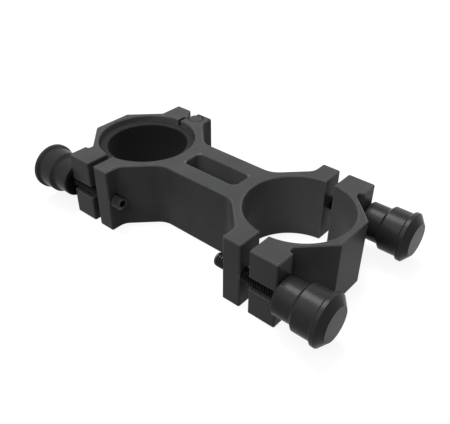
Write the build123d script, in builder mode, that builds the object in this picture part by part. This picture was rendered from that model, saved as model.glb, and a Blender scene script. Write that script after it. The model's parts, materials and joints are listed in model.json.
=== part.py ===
from build123d import *
from math import sqrt
import os

# Sizes in millimetres. X runs from one ring axis to the other, Z along the bores, Z = 0 under the rings.
ring_spacing = 57.5         # between the two ring axes
ring_bore_radius = 15.0     # both rings close to this radius
ring_height = 20.5          # axial width of rings, bridge and caps
body_wall = 2.4             # wall of the body rings at their sloped facets
cap_wall = 1.3              # wall of the caps at their sloped facets
cap_end_wall = 1.7          # wall of the caps at their end flat
left_gap = 2.4              # open joint between body and left cap
right_gap = 2.75            # open joint between body and right cap
body_ear = 5.7              # thickness of a body ear
cap_ear = 8.4               # thickness of a cap ear
ear_margin = 2.2            # from a stud axis to the ear's outer side
pad_reach = 6.15            # length in Y of the raised clamping pad on a cap ear
pad_rise = 1.3              # height of that pad over the ear behind it
waist_half = 8.9            # half width of the bridge between the rings
waist_fillet = 6.0
ear_fillet = 4.0
corner_round = 0.5          # small round on upright corners
edge_break = 0.3            # chamfer along top, bottom and bore edges
window_length = 19.2
window_width = 6.9
window_corner = 1.7

# Hinge of the left cap: a full-height bead on a thin arm, held in an open socket.
bead_x = 2.6                # from the left ring axis towards the bridge
bead_offset = 4.4           # from the bore wall to the bead centre
bead_radius = 2.4
socket_clearance = 0.05
socket_lip = 0.95           # outer lip of the socket, from the left ring axis
arm_thickness = 1.45
arm_drop = 0.1              # top of the arm below the bead centre
arm_relief = 0.35           # free space under the arm
cap_slope_x = 2.6           # where the sloped end of the hinge ear leaves its outer face
cap_slope_root = 1.45       # where that slope meets the arm
slope_fillet = 1.0

# Studs, washers and knobs on the clamp ears.
stud_offset = 5.3           # from the bore wall to a stud axis
stud_radius = 2.0
stud_tail = 3.3             # stud standing out behind the body ear
stud_grip = 9.7             # stud inside the left knob
stud_clearance = 0.05
stud_chamfer = 0.4
socket_flats = 2.0          # hexagon across flats in the tail end
socket_depth = 2.0
slot_clearance = 0.1        # between stud and each side of the cap slot
washer_radius = 4.5
washer_thickness = 0.5
neck_radius = 5.35
neck_length = 5.4
barrel_radius = 6.4
barrel_length = 5.0
rim_radius = 7.1
rim_length = 0.9
face_radius = 4.8
nose_length = 1.85          # conical end of the knob
flare = 0.6                 # cone from barrel to rim
knob_bore_spare = 2.3       # knob bore beyond the end of the stud
knob_break = 0.3

# Split reducing sleeve in the left ring.
sleeve_wall = 2.5           # from the ring bore to the sleeve bore
sleeve_clearance = 0.05
sleeve_recess = 1.9         # sleeve ends below the ring faces
sleeve_slit = 1.6
sleeve_break = 0.4

# Places that follow from the sizes above.
stud_y = ring_bore_radius + stud_offset
stud_z = ring_height / 2
ear_reach = stud_y + ear_margin
bead_y = ring_bore_radius + bead_offset
body_reach = (ring_bore_radius + body_wall) * sqrt(2)
left_root = body_reach - left_gap / 2 - body_ear
right_root = body_reach - right_gap / 2 - body_ear
cap_reach = (ring_bore_radius + cap_wall) * sqrt(2)
cap_flat = ring_bore_radius + cap_end_wall
pad_start = ear_reach - pad_reach
stud_hole = stud_radius + stud_clearance
left_ring = Plane((-ring_spacing / 2, 0, 0))
right_ring = Plane((ring_spacing / 2, 0, 0))
left_seat = ring_spacing / 2 + left_gap / 2 + cap_ear
right_seat = ring_spacing / 2 + right_gap / 2 + cap_ear
stud_length = stud_tail + body_ear + left_gap + cap_ear + washer_thickness + stud_grip
knob_bore_depth = stud_grip + knob_bore_spare


def half_body(gap, root):
    """Corners of one ring's share of the body, from the ear's joint face to the waist, ring axis at zero."""
    return [(gap / 2, ear_reach), (gap / 2 + body_ear, ear_reach), (gap / 2 + body_ear, root),
            (body_reach - waist_half, waist_half)]


def corners_at(sketch, distances):
    """Corners of an outline at one of the given distances from the X axis."""
    return [v for v in sketch.vertices() if min(abs(abs(v.Y) - d) for d in distances) < 0.001]


def at_height(solid, height):
    """Edges of a part that lie in one horizontal plane."""
    return solid.edges().filter_by_position(Axis.Z, height - 0.001, height + 0.001)


# Bridge body: both half rings, their ears and the waist in one piece.
with BuildPart() as bridge_body:
    left_half = [(x - ring_spacing / 2, y) for x, y in half_body(left_gap, left_root)]
    right_half = [(ring_spacing / 2 - x, y) for x, y in half_body(right_gap, right_root)]
    upper = left_half + right_half[::-1]
    lower = [(x, -y) for x, y in upper[::-1]]
    with BuildSketch() as body_outline:
        with BuildLine():
            Polyline(upper + lower, close=True)
        make_face()
        fillet(corners_at(body_outline, [waist_half]), waist_fillet)
        fillet(corners_at(body_outline, [left_root, right_root]), ear_fillet)
        fillet(corners_at(body_outline, [ear_reach]), corner_round)
    extrude(amount=ring_height)
    # Both lips of the hinge socket, then the bores and the window
    arm_foot = bead_y - arm_drop - arm_thickness
    lip_top = arm_foot - arm_relief
    with BuildSketch(left_ring):
        Rectangle(left_gap, lip_top, align=(Align.MIN, Align.MIN))
        with Locations((socket_lip, lip_top)):
            Rectangle(left_gap, ear_reach - lip_top, align=(Align.MIN, Align.MIN))
    extrude(amount=ring_height)
    with BuildSketch():
        with Locations((-ring_spacing / 2, 0), (ring_spacing / 2, 0)):
            Circle(ring_bore_radius)
        with Locations((0, 0)):
            RectangleRounded(window_length, window_width, window_corner)
    extrude(amount=ring_height, mode=Mode.SUBTRACT)
    chamfer(at_height(bridge_body, 0) + at_height(bridge_body, ring_height), edge_break)
    # Socket of the hinge, open towards the cap
    with BuildSketch(left_ring):
        with Locations((bead_x, bead_y)):
            Circle(bead_radius + socket_clearance)
        with Locations((0, lip_top)):
            Rectangle(bead_x - bead_radius / 2, bead_y - lip_top, align=(Align.MIN, Align.MIN))
    extrude(amount=ring_height, mode=Mode.SUBTRACT)
    # Stud holes through the clamp ears
    with BuildSketch(Plane.YZ.offset(ring_spacing / 2)):
        with Locations((stud_y, stud_z), (-stud_y, stud_z)):
            Circle(stud_hole)
    extrude(amount=-(right_gap + body_ear + stud_tail), mode=Mode.SUBTRACT)
    with BuildSketch(Plane.YZ.offset(-ring_spacing / 2)):
        with Locations((-stud_y, stud_z)):
            Circle(stud_hole)
    extrude(amount=left_gap + body_ear + stud_tail, mode=Mode.SUBTRACT)


def clamp_ear(gap):
    """Corners of a cap's clamp ear and facet, from the joint face to the end flat, ring axis at zero."""
    seat = gap / 2 + cap_ear
    return [(gap / 2, ear_reach), (seat, ear_reach), (seat, pad_start), (seat - pad_rise, pad_start),
            (seat - pad_rise, cap_reach - seat + pad_rise), (cap_flat, cap_reach - cap_flat)]


def stud_slot(side):
    """Slot around a stud, open at the ear's outer side."""
    half = stud_radius + slot_clearance
    with Locations((side * stud_y, stud_z)):
        Circle(half)
        Rectangle(ear_reach, 2 * half, align=(Align.MIN if side > 0 else Align.MAX, Align.CENTER))


# Right cap: two slotted clamp ears, lifted off along the studs.
with BuildPart() as right_cap:
    far_side = clamp_ear(right_gap)
    near_side = [(x, -y) for x, y in far_side[::-1]]
    with BuildSketch(right_ring) as right_outline:
        with BuildLine():
            Polyline(far_side + near_side, close=True)
        make_face()
        fillet(right_outline.vertices(), corner_round)
    extrude(amount=ring_height)
    with BuildSketch(right_ring):
        Circle(ring_bore_radius)
    extrude(amount=ring_height, mode=Mode.SUBTRACT)
    chamfer(at_height(right_cap, 0) + at_height(right_cap, ring_height), edge_break)
    with BuildSketch(Plane.YZ.offset(ring_spacing / 2)):
        stud_slot(1)
        stud_slot(-1)
    extrude(amount=cap_flat, mode=Mode.SUBTRACT)

# Left cap: one slotted clamp ear, the bead of the hinge at the other side.
with BuildPart() as left_cap:
    near_side = [(-x, -y) for x, y in clamp_ear(left_gap)]
    hinge_ear = left_gap / 2 + cap_ear - pad_rise
    arm_top = bead_y - arm_drop
    far_side = [(-cap_flat, cap_reach - cap_flat), (-hinge_ear, cap_reach - hinge_ear), (-hinge_ear, ear_reach),
                (-cap_slope_x, ear_reach), (-cap_slope_root, arm_top), (bead_x, arm_top),
                (bead_x, arm_foot), (-left_gap / 2, arm_foot)]
    with BuildSketch(left_ring) as left_outline:
        with BuildLine():
            Polyline(near_side + far_side, close=True)
        make_face()
        fillet([v for v in left_outline.vertices() if v.Y < 0 or v.X <= -cap_slope_x], corner_round)
        fillet(left_outline.vertices().sort_by_distance((-cap_slope_root, arm_top))[0], slope_fillet)
        with Locations((bead_x, bead_y)):
            Circle(bead_radius)
    extrude(amount=ring_height)
    with BuildSketch(left_ring):
        Circle(ring_bore_radius)
    extrude(amount=ring_height, mode=Mode.SUBTRACT)
    chamfer(at_height(left_cap, 0) + at_height(left_cap, ring_height), edge_break)
    with BuildSketch(Plane.YZ.offset(-ring_spacing / 2)):
        stud_slot(-1)
    extrude(amount=-cap_flat, mode=Mode.SUBTRACT)

# Reducing sleeve: a split tube inside the left ring.
with BuildPart() as reducing_sleeve:
    with BuildSketch(left_ring.offset(sleeve_recess)):
        Circle(ring_bore_radius - sleeve_clearance)
        Circle(ring_bore_radius - sleeve_wall, mode=Mode.SUBTRACT)
    extrude(amount=ring_height - 2 * sleeve_recess)
    rims = at_height(reducing_sleeve, sleeve_recess) + at_height(reducing_sleeve, ring_height - sleeve_recess)
    chamfer(rims, sleeve_break)
    with BuildSketch(left_ring):
        with Locations((0, -ring_bore_radius)):
            Rectangle(sleeve_slit, ring_bore_radius)
    extrude(amount=ring_height, mode=Mode.SUBTRACT)


def turned(profile, seat, y, outward):
    """Solid of revolution about a stud axis; the profile runs outward from the seat."""
    axis_plane = Plane(origin=(seat, y, stud_z), x_dir=(outward, 0, 0), z_dir=(0, -outward, 0))
    with BuildPart() as piece:
        with BuildSketch(axis_plane):
            with BuildLine():
                Polyline(profile, close=True)
            make_face()
        revolve(axis=Axis((seat, y, stud_z), (1, 0, 0)))
    return piece.part


barrel_start = neck_length + barrel_radius - neck_radius
rim_start = barrel_start + barrel_length + flare
knob_length = rim_start + rim_length + nose_length
knob_profile = [
    (0, stud_hole + stud_chamfer), (0, neck_radius - knob_break), (knob_break, neck_radius),
    (neck_length, neck_radius), (barrel_start, barrel_radius), (barrel_start + barrel_length, barrel_radius),
    (rim_start, rim_radius), (rim_start + rim_length, rim_radius), (knob_length, face_radius),
    (knob_length, 0), (knob_bore_depth + stud_hole / 2, 0), (knob_bore_depth, stud_hole),
    (stud_chamfer, stud_hole)]
washer_profile = [(0, stud_hole), (0, washer_radius), (washer_thickness, washer_radius),
                  (washer_thickness, stud_hole)]
stud_profile = [(0, 0), (0, stud_radius - stud_chamfer), (stud_chamfer, stud_radius),
                (stud_length - stud_chamfer, stud_radius), (stud_length, stud_radius - stud_chamfer),
                (stud_length, 0)]


def make_stud(tail_end, y, outward):
    """Stud with a hexagon socket in the end that stands out behind the body ear."""
    with BuildPart() as stud:
        add(turned(stud_profile, tail_end, y, outward))
        with BuildSketch(Plane(origin=(tail_end, y, stud_z), x_dir=(0, 1, 0), z_dir=(outward, 0, 0))):
            RegularPolygon(socket_flats / 2, 6, major_radius=False)
        extrude(amount=socket_depth, mode=Mode.SUBTRACT)
    return stud.part


left_tail = -(ring_spacing / 2 - left_gap / 2 - body_ear - stud_tail)
right_tail = ring_spacing / 2 - right_gap / 2 - body_ear - stud_tail
stands = {
    "left": (left_tail, -left_seat, -stud_y, -1),
    "right_far": (right_tail, right_seat, stud_y, 1),
    "right_near": (right_tail, right_seat, -stud_y, 1)}

pieces = {"bridge_body": bridge_body.part, "right_cap": right_cap.part, "left_cap": left_cap.part,
          "reducing_sleeve": reducing_sleeve.part}
for name, (tail, seat, y, outward) in stands.items():
    pieces[name + "_stud"] = make_stud(tail, y, outward)
    pieces[name + "_washer"] = turned(washer_profile, seat, y, outward)
    pieces[name + "_knob"] = turned(knob_profile, seat + outward * washer_thickness, y, outward)

os.makedirs("parts", exist_ok=True)
for name, piece in pieces.items():
    piece.label = name
    export_step(piece, "parts/" + name + ".step")
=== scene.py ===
# %% [markdown]
# # A tube mount in black anodised aluminium
# The part is a bridge with a clamp ring at each end. The machined shapes come from the CAD model, so this script
# gives them their finish, cuts the threads on the three studs, and sets up a plain studio round them.
# Everything is in metres, and the mount lies on its back face with both bores upright.

import json
import math

import bmesh
import bpy
from mathutils import Matrix, Vector


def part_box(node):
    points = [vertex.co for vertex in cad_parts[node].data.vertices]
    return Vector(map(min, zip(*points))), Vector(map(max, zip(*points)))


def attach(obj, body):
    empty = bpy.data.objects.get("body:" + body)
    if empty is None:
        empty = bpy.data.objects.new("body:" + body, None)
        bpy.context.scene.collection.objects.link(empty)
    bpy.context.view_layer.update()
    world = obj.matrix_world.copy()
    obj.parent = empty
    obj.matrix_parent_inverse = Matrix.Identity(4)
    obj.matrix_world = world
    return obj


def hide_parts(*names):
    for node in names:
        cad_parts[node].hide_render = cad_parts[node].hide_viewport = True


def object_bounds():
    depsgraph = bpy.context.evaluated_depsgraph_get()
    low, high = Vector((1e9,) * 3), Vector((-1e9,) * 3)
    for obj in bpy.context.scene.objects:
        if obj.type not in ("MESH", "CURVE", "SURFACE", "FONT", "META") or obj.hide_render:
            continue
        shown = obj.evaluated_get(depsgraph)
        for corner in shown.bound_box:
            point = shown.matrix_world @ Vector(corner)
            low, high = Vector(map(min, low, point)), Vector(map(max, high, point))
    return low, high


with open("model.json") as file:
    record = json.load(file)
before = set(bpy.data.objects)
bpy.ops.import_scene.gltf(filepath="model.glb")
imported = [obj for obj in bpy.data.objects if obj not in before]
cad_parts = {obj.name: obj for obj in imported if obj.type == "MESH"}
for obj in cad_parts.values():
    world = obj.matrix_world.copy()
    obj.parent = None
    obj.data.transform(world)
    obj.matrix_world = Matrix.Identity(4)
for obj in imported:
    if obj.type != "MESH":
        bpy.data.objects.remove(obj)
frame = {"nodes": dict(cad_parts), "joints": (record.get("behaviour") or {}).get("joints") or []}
cad_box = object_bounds()
nodes = frame["nodes"]


def millimetres(lengths):
    """Lengths in metres as rounded millimetres, for printing."""
    return [round(1000 * length, 2) for length in lengths]


print("The CAD box is", millimetres(cad_box[1] - cad_box[0]), "mm")

# %% [markdown]
# ## Camera
# The mount is seen from above its right end, from the side of the two nearer knobs. A lens of 46 mm stands about
# 18 cm away. One could aim the camera with a constraint, but a written matrix keeps the small roll exactly.

# %% Place the camera
camera_place = Vector((0.09378, -0.10609, 0.10697))
turn, rise, roll = math.radians(40.44), math.radians(35.71), math.radians(0.40)
backward = Vector((math.sin(turn) * math.cos(rise), -math.cos(turn) * math.cos(rise), math.sin(rise)))
rightward = Vector((math.cos(turn), math.sin(turn), 0))
upward = backward.cross(rightward)
rolled_right = math.cos(roll) * rightward + math.sin(roll) * upward
rolled_up = math.cos(roll) * upward - math.sin(roll) * rightward
facing = Matrix((rolled_right, rolled_up, backward)).transposed().to_4x4()

camera = bpy.data.objects.new("camera", bpy.data.cameras.new("camera"))
bpy.context.scene.collection.objects.link(camera)
camera.matrix_world = Matrix.Translation(camera_place) @ facing
camera.data.sensor_width = 36
camera.data.lens = 46.29
camera.data.clip_start = 0.005
bpy.context.scene.camera = camera
bpy.context.scene.view_settings.view_transform = "Standard"
print("The camera looks", [round(v, 3) for v in -backward])

# %% [markdown]
# ## Helpers for materials
# Each finish below is a tree of shader nodes. One could build the trees by hand in the shader editor, but in a script
# a few helpers keep them short: they start a material, add a node, feed its inputs, and wrap the kinds of node that
# come back in every finish.

# %% Start a material and add nodes to it
def feed(tree, node, inputs):
    """Sets the inputs of a node, each by its name or number, to a value or to another node's output."""
    for key, value in inputs.items():
        if isinstance(value, bpy.types.NodeSocket):
            tree.links.new(value, node.inputs[key])
        else:
            node.inputs[key].default_value = value


def add_node(tree, kind, inputs=None, **properties):
    """A new node with its properties set and its inputs fed."""
    node = tree.nodes.new(kind)
    for key, value in properties.items():
        setattr(node, key, value)
    feed(tree, node, inputs or {})
    return node


def start_material(name):
    """A new material and its empty node tree."""
    material = bpy.data.materials.new(name)
    material.use_nodes = True
    material.node_tree.nodes.clear()
    return material, material.node_tree


def finish_material(tree, inputs):
    """Joins a Principled shader with these inputs to the output of the material."""
    shader = add_node(tree, "ShaderNodeBsdfPrincipled", inputs)
    add_node(tree, "ShaderNodeOutputMaterial", {"Surface": shader.outputs["BSDF"]})


def dress(names, material):
    """Gives CAD pieces one finish in place of their plain colour."""
    for name in names:
        nodes[name].data.materials.clear()
        nodes[name].data.materials.append(material)


print("Materials can be started")

# %% Numbers, colours and noises
def number(tree, operation, *values):
    """One number from one, two or three others."""
    return add_node(tree, "ShaderNodeMath", dict(enumerate(values)), operation=operation).outputs["Value"]


def fit_range(tree, value, low, high, to_low, to_high):
    """Carries a value from one range to another, held at both ends."""
    inputs = {0: value, 1: low, 2: high, 3: to_low, 4: to_high}
    return add_node(tree, "ShaderNodeMapRange", inputs).outputs["Result"]


def blend_colours(tree, share, first, second):
    """A colour between two others."""
    return add_node(tree, "ShaderNodeMix", {0: share, 6: first, 7: second}, data_type="RGBA").outputs[2]


def own_place(tree):
    """Where a point lies on its piece. It doesn't slide when the piece moves."""
    return add_node(tree, "ShaderNodeTexCoord").outputs["Object"]


def noise(tree, place, scale, detail):
    """An uneven number, 0.5 on average, with about as many lumps to a metre as its scale says."""
    inputs = {"Vector": place, "Scale": scale, "Detail": detail}
    return add_node(tree, "ShaderNodeTexNoise", inputs).outputs["Fac"]


def from_noise(tree, uneven, to_low, to_high):
    """Carries the part of its range that a noise really uses to another range."""
    return fit_range(tree, uneven, 0.3, 0.7, to_low, to_high)


def fine_bump(tree, height, strength, distance):
    """A normal that follows a fine texture."""
    inputs = {"Strength": strength, "Distance": distance, "Height": height}
    return add_node(tree, "ShaderNodeBump", inputs).outputs["Normal"]


print("Numbers, colours and noises are ready")

# %% [markdown]
# ## Painted edge highlights
# A thin line of light along the edges is painted into the colour, as a painted highlight. A painted mask would need
# an unwrapped surface. The Bevel node gives the normal that a slightly rounded edge would have, so where that normal
# departs from the true one, an edge is near.

# %% Find the edges
agree_on_flat, agree_on_edge = 0.985, 0.80   # the product of the two normals, 1 where they are equal


def edge_share(tree, width):
    """From 0 on flat places to 1 along sharp edges."""
    rounded = add_node(tree, "ShaderNodeBevel", {"Radius": width}, samples=6)
    flat = add_node(tree, "ShaderNodeNewGeometry")
    inputs = {0: rounded.outputs["Normal"], 1: flat.outputs["True Normal"]}
    agreement = add_node(tree, "ShaderNodeVectorMath", inputs, operation="DOT_PRODUCT").outputs["Value"]
    return fit_range(tree, agreement, agree_on_flat, agree_on_edge, 0.0, 1.0)


print("An edge begins where the normals agree to less than", agree_on_flat)

# %% [markdown]
# ## Painted light on the bored walls, painted shade in the hinge seam
# The walls of the bores and the window are painted lighter than the rest: painted light for the light falling into
# them. Round the hinge bead a thin seam is painted dark, a painted shade for the shadow in that gap, and no painted
# highlight is put on its edges. Both could be painted on a texture, but distances measured in the part's own
# coordinates find the same places without one.

# %% Find the bored walls
ring_centre = 0.02875
bore_reach = 0.01506                # just past the wall of a bore, 15 mm from its centre
window_reach = (0.00966, 0.00352)   # just past the walls of the window, from its centre


def distance_to_axis(tree, split, x, y):
    """How far a point lies from an upright axis."""
    level = add_node(tree, "ShaderNodeCombineXYZ", {"X": split.outputs["X"], "Y": split.outputs["Y"]})
    inputs = {0: level.outputs["Vector"], 1: (x, y, 0)}
    return add_node(tree, "ShaderNodeVectorMath", inputs, operation="DISTANCE").outputs["Value"]


def lit_bore_share(tree, split):
    """1 on the walls of both bores and of the window, which are painted lighter as painted light, 0 elsewhere."""
    left, right = (number(tree, "LESS_THAN", distance_to_axis(tree, split, x, 0), bore_reach)
                   for x in (-ring_centre, ring_centre))
    along, across = (number(tree, "LESS_THAN", number(tree, "ABSOLUTE", split.outputs[axis]), reach)
                     for axis, reach in zip("XY", window_reach))
    rings = number(tree, "MAXIMUM", left, right)
    return number(tree, "MAXIMUM", rings, number(tree, "MULTIPLY", along, across))


print("The bored walls lie within", millimetres([bore_reach, *window_reach]), "mm of their centres")

# %% Find the hinge seam
bead_radius = 0.0024
seam_middle = bead_radius + 0.00005
seam_dark, seam_end = 0.00010, 0.00028   # from the middle of the seam: its dark core, and its soft edge
highlight_off, highlight_back = 0.0003, 0.0007  # past the bead: where no edge gets its painted highlight, and where they all do
hinge_place = next(joint for joint in frame["joints"] if joint["name"] == "left_cap_swing")["pos_m"]


def seam_shares(tree, split):
    """How close a point is to the hinge bead, and whether it is in the seam on the end faces."""
    distance = distance_to_axis(tree, split, hinge_place[0], hinge_place[1])
    near_bead = fit_range(tree, distance, bead_radius + highlight_off, bead_radius + highlight_back, 1.0, 0.0)
    off_seam = number(tree, "ABSOLUTE", number(tree, "SUBTRACT", distance, seam_middle))
    line = fit_range(tree, off_seam, seam_dark, seam_end, 1.0, 0.0)
    normal = add_node(tree, "ShaderNodeNewGeometry").outputs["True Normal"]
    upright = add_node(tree, "ShaderNodeSeparateXYZ", {"Vector": normal}).outputs["Z"]
    end_face = number(tree, "GREATER_THAN", number(tree, "ABSOLUTE", upright), 0.5)
    return near_bead, number(tree, "MULTIPLY", line, end_face)


print("The hinge axis stands at", millimetres(hinge_place[:2]), "mm")

# %% [markdown]
# ## Black anodised aluminium
# The bridge and both caps are milled, blasted with fine beads and anodised, which leaves a satin black skin. The
# skin is a little rough and a little uneven in tone. Its colour also holds a painted highlight along the edges,
# painted light on the bored walls and painted shade in the hinge seam. A single colour would look like plastic, so a
# wide noise drives the tone, and a fine one the roughness and a very fine bump.

# %% Anodised finish
blasted_dark, blasted_light = (0.034, 0.0345, 0.0355, 1), (0.043, 0.0435, 0.0445, 1)
# painted light: the lighter tone of the walls of the bores and the window
lit_bore_dark, lit_bore_light = (0.066, 0.0665, 0.068, 1), (0.080, 0.0805, 0.082, 1)
# painted highlight: the lighter colour along the edges
edge_highlight = (0.130, 0.131, 0.133, 1)
# painted shade: the dark colour of the seam round the hinge bead
painted_seam_shade = (0.008, 0.008, 0.008, 1)


def anodised(name):
    """Satin black skin over blasted aluminium."""
    material, tree = start_material(name)
    place = own_place(tree)
    split = add_node(tree, "ShaderNodeSeparateXYZ", {"Vector": place})
    uneven = from_noise(tree, noise(tree, place, scale=90.0, detail=3.0), 0.0, 1.0)
    grain = noise(tree, place, scale=5200.0, detail=2.0)
    near_bead, seam = seam_shares(tree, split)
    edges = edge_share(tree, width=0.00035)
    # where the edges get their painted highlight, kept off the edges round the hinge bead
    edge_highlight_share = number(tree, "MULTIPLY", edges, number(tree, "SUBTRACT", 1.0, near_bead))

    blasted = blend_colours(tree, uneven, blasted_dark, blasted_light)
    # painted light: the bored walls take the lighter tone
    bored = blend_colours(tree, uneven, lit_bore_dark, lit_bore_light)
    skin = blend_colours(tree, lit_bore_share(tree, split), blasted, bored)
    # the edges get a painted highlight
    skin_and_edge_highlight = blend_colours(tree, edge_highlight_share, skin, edge_highlight)
    finish_material(tree, {
        # the seam round the hinge bead gets painted shade
        "Base Color": blend_colours(tree, seam, skin_and_edge_highlight, painted_seam_shade),
        "Roughness": from_noise(tree, grain, 0.30, 0.40),
        "Specular IOR Level": 0.05,
        "Normal": fine_bump(tree, grain, strength=0.25, distance=0.00002),
    })
    return material


anodised_skin = anodised("black_anodised")
dress(("bridge_body", "left_cap", "right_cap"), anodised_skin)
print("Anodised:", anodised_skin.name)

# %% [markdown]
# ## Turned knobs
# A knob is turned on a lathe, so its skin carries fine rings round its own axis. The rings run along the barrel and
# across the end face. An image of rings would have to be fitted to each face. Adding the distance along the axis to
# the distance from it gives one number that changes across both, and a one-dimensional noise of that number makes
# the rings. The turned skin is smoother than the blasted one and a quarter metallic, so the flat end of a knob
# mirrors the pale floor.

# %% Turned finish
turned_dark, turned_light = (0.014, 0.0141, 0.0146, 1), (0.022, 0.0222, 0.0229, 1)
# painted highlight: the lighter colour along the knob's edges
turned_edge_highlight = (0.060, 0.0606, 0.0624, 1)
face_share = 1.6                    # rings stand this much closer across a face than along the barrel


def turned_finish(name, axis_y, axis_z):
    """Black anodised skin with lathe rings round an axis that runs along X."""
    material, tree = start_material(name)
    place = own_place(tree)
    centred = add_node(tree, "ShaderNodeMapping", {"Vector": place, "Location": (0, -axis_y, -axis_z)})
    split = add_node(tree, "ShaderNodeSeparateXYZ", {"Vector": centred.outputs["Vector"]})
    across = add_node(tree, "ShaderNodeCombineXYZ", {"Y": split.outputs["Y"], "Z": split.outputs["Z"]})
    radius = add_node(tree, "ShaderNodeVectorMath", {0: across.outputs["Vector"]}, operation="LENGTH")
    along = number(tree, "MULTIPLY_ADD", radius.outputs["Value"], face_share, split.outputs["X"])
    rings = add_node(tree, "ShaderNodeTexNoise", {"W": along, "Scale": 5000.0, "Detail": 3.0},
                     noise_dimensions="1D").outputs["Fac"]

    skin = blend_colours(tree, noise(tree, place, scale=160.0, detail=2.0), turned_dark, turned_light)
    finish_material(tree, {
        # the edges get a painted highlight
        "Base Color": blend_colours(tree, edge_share(tree, width=0.0003), skin, turned_edge_highlight),
        "Roughness": from_noise(tree, rings, 0.28, 0.36),
        "Metallic": 0.25,
        "Specular IOR Level": 0.11,
        "Specular Tint": (0.60, 0.60, 0.60, 1),
        "Normal": fine_bump(tree, rings, strength=0.2, distance=0.00001),
    })
    return material


stud_height = (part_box("left_stud")[0].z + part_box("left_stud")[1].z) / 2
for name in ("left_knob", "right_far_knob", "right_near_knob"):
    low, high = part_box(name)
    dress((name,), turned_finish("turned_" + name, (low.y + high.y) / 2, stud_height))
print("Knobs turned at a height of", round(1000 * stud_height, 2), "mm")

# %% [markdown]
# ## Reducing sleeve
# The sleeve is moulded plastic, dull and nearly black, with the fine spark texture of its mould. Modelling that
# texture would take millions of faces, so a fine noise gives it to the roughness and the bump.

# %% Moulded finish
moulded_dark, moulded_light = (0.006, 0.006, 0.0065, 1), (0.009, 0.009, 0.0095, 1)
# painted highlight: the lighter colour along the sleeve's edges
moulded_edge_highlight = (0.085, 0.086, 0.088, 1)


def moulded(name):
    """Matte black moulded plastic."""
    material, tree = start_material(name)
    place = own_place(tree)
    spark = noise(tree, place, scale=3600.0, detail=3.0)
    skin = blend_colours(tree, noise(tree, place, scale=120.0, detail=2.0), moulded_dark, moulded_light)
    finish_material(tree, {
        # the edges get a painted highlight
        "Base Color": blend_colours(tree, edge_share(tree, width=0.0003), skin, moulded_edge_highlight),
        "Roughness": from_noise(tree, spark, 0.62, 0.78),
        "Specular IOR Level": 0.12,
        "Normal": fine_bump(tree, spark, strength=0.35, distance=0.00003),
    })
    return material


dress(("reducing_sleeve",), moulded("moulded_sleeve"))
print("The sleeve is matte plastic")

# %% [markdown]
# ## Blackened steel
# Studs and washers are steel with a black oxide. It stays metallic under its colour, so its highlights are sharper
# than those of the anodised parts, and a little brown shows where the oxide is thin. The tails of the studs, which
# stand free between the rings, are painted a lighter grey than the rest, as painted light for the light they catch
# in the open. A material of their own would split each stud, so the distance from the middle of the mount tells the
# tails from the rest.

# %% Steel finish
oxide_black, oxide_brown = (0.006, 0.006, 0.0065, 1), (0.014, 0.0135, 0.013, 1)
# painted light: the lighter grey of the stud tails
lit_tail_grey = (0.032, 0.032, 0.0315, 1)
tail_reach = 0.0217                 # the ears' inner faces, from the middle of the mount
tail_fade = 0.0003


def blackened(name, rough_low, rough_high):
    """Black oxide on steel, painted lighter between the ears' inner faces as painted light."""
    material, tree = start_material(name)
    place = own_place(tree)
    clouds = noise(tree, place, scale=700.0, detail=4.0)
    from_middle = number(tree, "ABSOLUTE", add_node(tree, "ShaderNodeSeparateXYZ", {"Vector": place}).outputs["X"])
    lit_tail = fit_range(tree, from_middle, tail_reach - tail_fade, tail_reach, 1.0, 0.0)
    oxide = blend_colours(tree, clouds, oxide_black, oxide_brown)
    finish_material(tree, {
        # the tails get the painted light
        "Base Color": blend_colours(tree, lit_tail, oxide, lit_tail_grey),
        "Roughness": from_noise(tree, clouds, rough_low, rough_high),
        "Metallic": 0.8,
        "Specular IOR Level": 0.15,
        "Normal": fine_bump(tree, clouds, strength=0.15, distance=0.00001),
    })
    return material


stud_steel = blackened("blackened_stud", rough_low=0.28, rough_high=0.42)
washer_steel = blackened("blackened_washer", rough_low=0.32, rough_high=0.46)
dress(("left_washer", "right_far_washer", "right_near_washer"), washer_steel)
dress(("left_stud", "right_far_stud", "right_near_stud"), stud_steel)
print("Steel finishes:", stud_steel.name, washer_steel.name)

# %% [markdown]
# ## Ends of a stud
# Both ends are chamfered so that the knob starts easily, which is a matter of limiting how far a point near an end
# may stand from the axis. The tail end also has a hexagon socket. A Boolean could cut it, but would leave long thin
# faces on the thread, and a bridge between two rings of unlike counts may fold. Here each edge of the rim is joined
# to the nearest corner of a small hexagon, and its walls and bottom are added.

# %% Chamfer the ends
end_chamfer = 0.0004


def chamfer_ends(mesh, centre, radius, low_x, high_x):
    """Draws the points near both ends in towards the axis, at 45 degrees."""
    for vert in mesh.verts:
        arm = Vector((0, vert.co.y - centre.y, vert.co.z - centre.z))
        depth = min(vert.co.x - low_x, high_x - vert.co.x)
        limit = radius - end_chamfer + depth
        if arm.length > limit:
            arm *= limit / arm.length
            vert.co = Vector((vert.co.x, centre.y + arm.y, centre.z + arm.z))


print("The ends are chamfered by", 1000 * end_chamfer, "mm")

# %% Close the ends
socket_flats = 0.0020
socket_depth = 0.0020
same_place = 1e-6


def open_rim(mesh, end_x):
    """The open edges that lie at one end."""
    return [edge for edge in mesh.edges
            if edge.is_boundary and all(abs(vert.co.x - end_x) < same_place for vert in edge.verts)]


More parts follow.
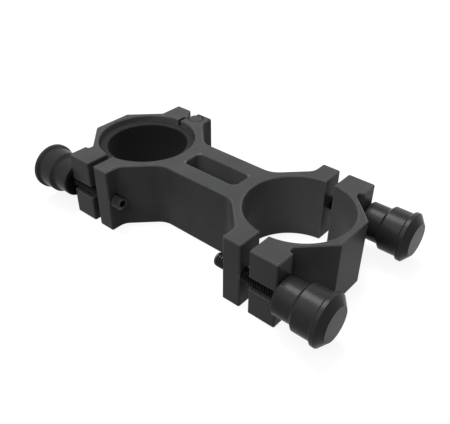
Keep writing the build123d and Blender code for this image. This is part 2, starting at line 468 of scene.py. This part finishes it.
def hexagon_socket(mesh, rim, place, inward):
    """Closes a rim with a flat end that has a hexagon socket in it."""
    around = sorted({vert for edge in rim for vert in edge.verts},
                    key=lambda vert: math.atan2(vert.co.z - place.z, vert.co.y - place.y))
    reach = socket_flats / math.sqrt(3)
    arms = [reach * Vector((0, math.cos(turn), math.sin(turn))) for turn in (k * math.pi / 3 for k in range(6))]
    mouth = [mesh.verts.new(place + arm) for arm in arms]
    bottom = [mesh.verts.new(place + arm + inward * socket_depth) for arm in arms]

    def nearest(first, second):
        middle = (first.co + second.co) / 2
        return min(mouth, key=lambda corner: (corner.co - middle).length)

    for before, here, after in zip(around[-1:] + around, around, around[1:] + around[:1]):
        last, own = nearest(before, here), nearest(here, after)
        mesh.faces.new((here, after, own))
        if last != own:
            mesh.faces.new((here, own, last))
    for corner in range(6):
        mesh.faces.new((mouth[corner - 1], mouth[corner], bottom[corner], bottom[corner - 1]))
    mesh.faces.new(bottom)


def close_ends(mesh, centre, low_x, high_x, tail_x):
    """Closes the plain end and makes the socket in the tail."""
    for end_x, inward in ((low_x, Vector((1, 0, 0))), (high_x, Vector((-1, 0, 0)))):
        rim = open_rim(mesh, end_x)
        if end_x == tail_x:
            hexagon_socket(mesh, rim, Vector((end_x, centre.y, centre.z)), inward)
        else:
            bmesh.ops.contextual_create(mesh, geom=rim)


print("The sockets are", 1000 * socket_flats, "mm across their flats")

# %% [markdown]
# ## Threads on the studs
# The CAD studs are smooth shanks. The real ones are threaded from end to end, and the thread shows on the tails
# behind the ears and inside the open slots. A Screw modifier could turn it, but its ends would stay ragged. The spin
# operator turns a short zigzag round the axis while it moves along it, when it is given a step as well as an angle,
# and leaves a mesh that can be cut flat at both ends. Its faces come in an order that changes from run to run. So the
# mesh is made anew in the order of its points, and every run gives the same thread.

# %% Settle and finish a mesh
def settled(mesh):
    """The same mesh made anew, with its faces in the order of their points."""
    mesh.verts.index_update()
    outlines = []
    for face in mesh.faces:
        outline = [vert.index for vert in face.verts]
        first = outline.index(min(outline))
        outlines.append(outline[first:] + outline[:first])
    fresh = bmesh.new()
    points = [fresh.verts.new(vert.co) for vert in mesh.verts]
    for outline in sorted(outlines):
        fresh.faces.new([points[place] for place in outline])
    mesh.free()
    return fresh


def mesh_piece(name, mesh):
    """A finished piece from a bmesh, with its normals set outwards."""
    bmesh.ops.recalc_face_normals(mesh, faces=mesh.faces)
    data = bpy.data.meshes.new(name)
    mesh.to_mesh(data)
    mesh.free()
    piece = bpy.data.objects.new(name, data)
    bpy.context.scene.collection.objects.link(piece)
    return piece


print("Meshes can be settled and finished")

# %% Cut one thread
pitch = 0.0007
thread_depth = 0.00040
# each point of the form lies at a share of the pitch, and of the depth
thread_form = ((0.0, 1), (0.08, 1), (0.44, 0), (0.56, 0), (0.92, 1), (1.0, 1))
steps_per_turn = 24
run_in = 1.5                        # turns that start outside the stud, to be cut off
spare_turns = 3
weld_distance = 0.000004
cut_distance = 1e-7


def threaded_stud(node_name, tail_side):
    """A threaded stud in the place of a smooth one, with its hexagon socket in the end at tail_side."""
    low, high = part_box(node_name)
    radius = (high.y - low.y) / 2
    centre = Vector((0, (low.y + high.y) / 2, (low.z + high.z) / 2))
    start = low.x - run_in * pitch
    turns = int((high.x - low.x) / pitch) + spare_turns
    mesh = bmesh.new()
    points = [mesh.verts.new(centre + Vector((start + share * pitch, 0, radius - thread_depth * depth)))
              for share, depth in thread_form]
    profile = [mesh.edges.new(pair) for pair in zip(points, points[1:])]
    bmesh.ops.spin(mesh, geom=points + profile, cent=centre, axis=(1, 0, 0), dvec=(pitch / steps_per_turn, 0, 0),
                   angle=2 * math.pi * turns, steps=steps_per_turn * turns, use_merge=False,
                   use_normal_flip=False, use_duplicate=False)
    mesh = settled(mesh)
    bmesh.ops.remove_doubles(mesh, verts=mesh.verts, dist=weld_distance)
    for end_x, outside in ((low.x, -1), (high.x, 1)):
        bmesh.ops.bisect_plane(mesh, geom=mesh.verts[:] + mesh.edges[:] + mesh.faces[:], dist=cut_distance,
                               plane_co=(end_x, 0, 0), plane_no=(outside, 0, 0), clear_outer=True)
    mesh = settled(mesh)
    chamfer_ends(mesh, centre, radius, low.x, high.x)
    close_ends(mesh, centre, low.x, high.x, low.x if tail_side < 0 else high.x)
    return mesh_piece(node_name + "_thread", settled(mesh))


print("The threads have a pitch of", 1000 * pitch, "mm")

# %% Thread the three studs
tail_sides = {"left_stud": 1, "right_far_stud": -1, "right_near_stud": -1}
for name, side in tail_sides.items():
    thread = threaded_stud(name, side)
    thread.data.materials.append(stud_steel)
    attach(thread, "bridge")
    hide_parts(name)
    print(thread.name, len(thread.data.polygons), "faces")

# %% [markdown]
# ## Floor and surroundings
# The floor is pale. Seen directly or in a reflection it is nearly white, so the mount's sides mirror it faintly, but
# it keeps a soft shadow where the mount stands, and it fades to pure white further out, so that no horizon shows. A
# floor that is simply white would also throw its light up under the mount, so for bounced light it is a mid grey.

# %% Tell seen light from bounced light
def seen_share(tree):
    """1 for what the camera sees directly, in a reflection or through glass, and 0 for bounced light."""
    path = add_node(tree, "ShaderNodeLightPath")
    straight = number(tree, "MAXIMUM", path.outputs["Is Camera Ray"], path.outputs["Is Glossy Ray"])
    return number(tree, "MAXIMUM", straight, path.outputs["Is Transmission Ray"])


print("Seen light is told from bounced light")

# %% Lay the floor
floor_half = 2.0                    # from the middle of the floor to a side
floor_drop = 0.00002                # just under the mount, so that the two faces don't flicker
floor_grey = 0.14
white_near, white_far = 0.87, 1.0   # by the mount, and further out
fade_start, fade_end = 0.12, 0.60   # how far out the floor begins and ends to whiten


def pale_floor():
    """White where it is seen, apart from the soft shadow, and a mid grey for bounced light."""
    material, tree = start_material("pale_floor")
    distance = add_node(tree, "ShaderNodeVectorMath", {0: own_place(tree)}, operation="LENGTH").outputs["Value"]
    level = fit_range(tree, distance, fade_start, fade_end, white_near, white_far)
    paper = add_node(tree, "ShaderNodeBsdfDiffuse", {"Color": (floor_grey, floor_grey, floor_grey, 1)})
    bright = add_node(tree, "ShaderNodeEmission", {"Color": (1, 1, 1, 1), "Strength": level})
    both = add_node(tree, "ShaderNodeAddShader", {0: paper.outputs[0], 1: bright.outputs[0]})
    choice = add_node(tree, "ShaderNodeMixShader", {0: seen_share(tree), 1: paper.outputs[0], 2: both.outputs[0]})
    add_node(tree, "ShaderNodeOutputMaterial", {"Surface": choice.outputs[0]})
    return material


ground = bmesh.new()
bmesh.ops.create_grid(ground, x_segments=2, y_segments=2, size=floor_half,
                      matrix=Matrix.Translation((0, 0, cad_box[0].z - floor_drop)))
floor = mesh_piece("floor", ground)
floor.data.materials.append(pale_floor())
print("The floor is", 2 * floor_half, "m wide")

# %% Make the sky
sky_light, sky_seen = 0.15, 1.0     # as a light on the mount, and where it is seen

world = bpy.data.worlds.new("studio")
bpy.context.scene.world = world
world.use_nodes = True
world.node_tree.nodes.clear()
sky_level = fit_range(world.node_tree, seen_share(world.node_tree), 0.0, 1.0, sky_light, sky_seen)
sky = add_node(world.node_tree, "ShaderNodeBackground", {"Color": (1, 1, 1, 1), "Strength": sky_level})
add_node(world.node_tree, "ShaderNodeOutputWorld", {"Surface": sky.outputs[0]})
print("The sky lights the mount with a strength of", sky_light)

# %% [markdown]
# ## Lamps
# A mount this dark is read by its bright top faces, its dim sides and a thin line of light along its edges. One big
# lamp would light every face alike. Here the strongest lamp hangs overhead, a little to the left, so that it also
# draws a highlight along the top of each knob. A broad lamp in front lifts the sides and reaches down into the bores,
# and a low one behind keeps the back from going black.

# %% Hang the lamps
lamps = {                           # place and width in metres, power in watts
    "overhead_lamp": ((-0.13, 0.04, 0.55), 0.26, 4.0),
    "front_lamp": ((0.06, -0.38, 0.52), 0.52, 3.1),
    "back_lamp": ((0.10, 0.46, 0.20), 0.40, 1.1),
}


def soft_lamp(name, place, width, power):
    """A square soft lamp that faces the middle of the mount."""
    lamp = bpy.data.objects.new(name, bpy.data.lights.new(name, "AREA"))
    bpy.context.scene.collection.objects.link(lamp)
    lamp.data.size = width
    lamp.data.energy = power
    lamp.location = place
    lamp.rotation_mode = "QUATERNION"
    lamp.rotation_quaternion = (-Vector(place)).to_track_quat("-Z", "Y")


for name, (place, width, power) in lamps.items():
    soft_lamp(name, place, width, power)
print(len(lamps), "lamps are set")
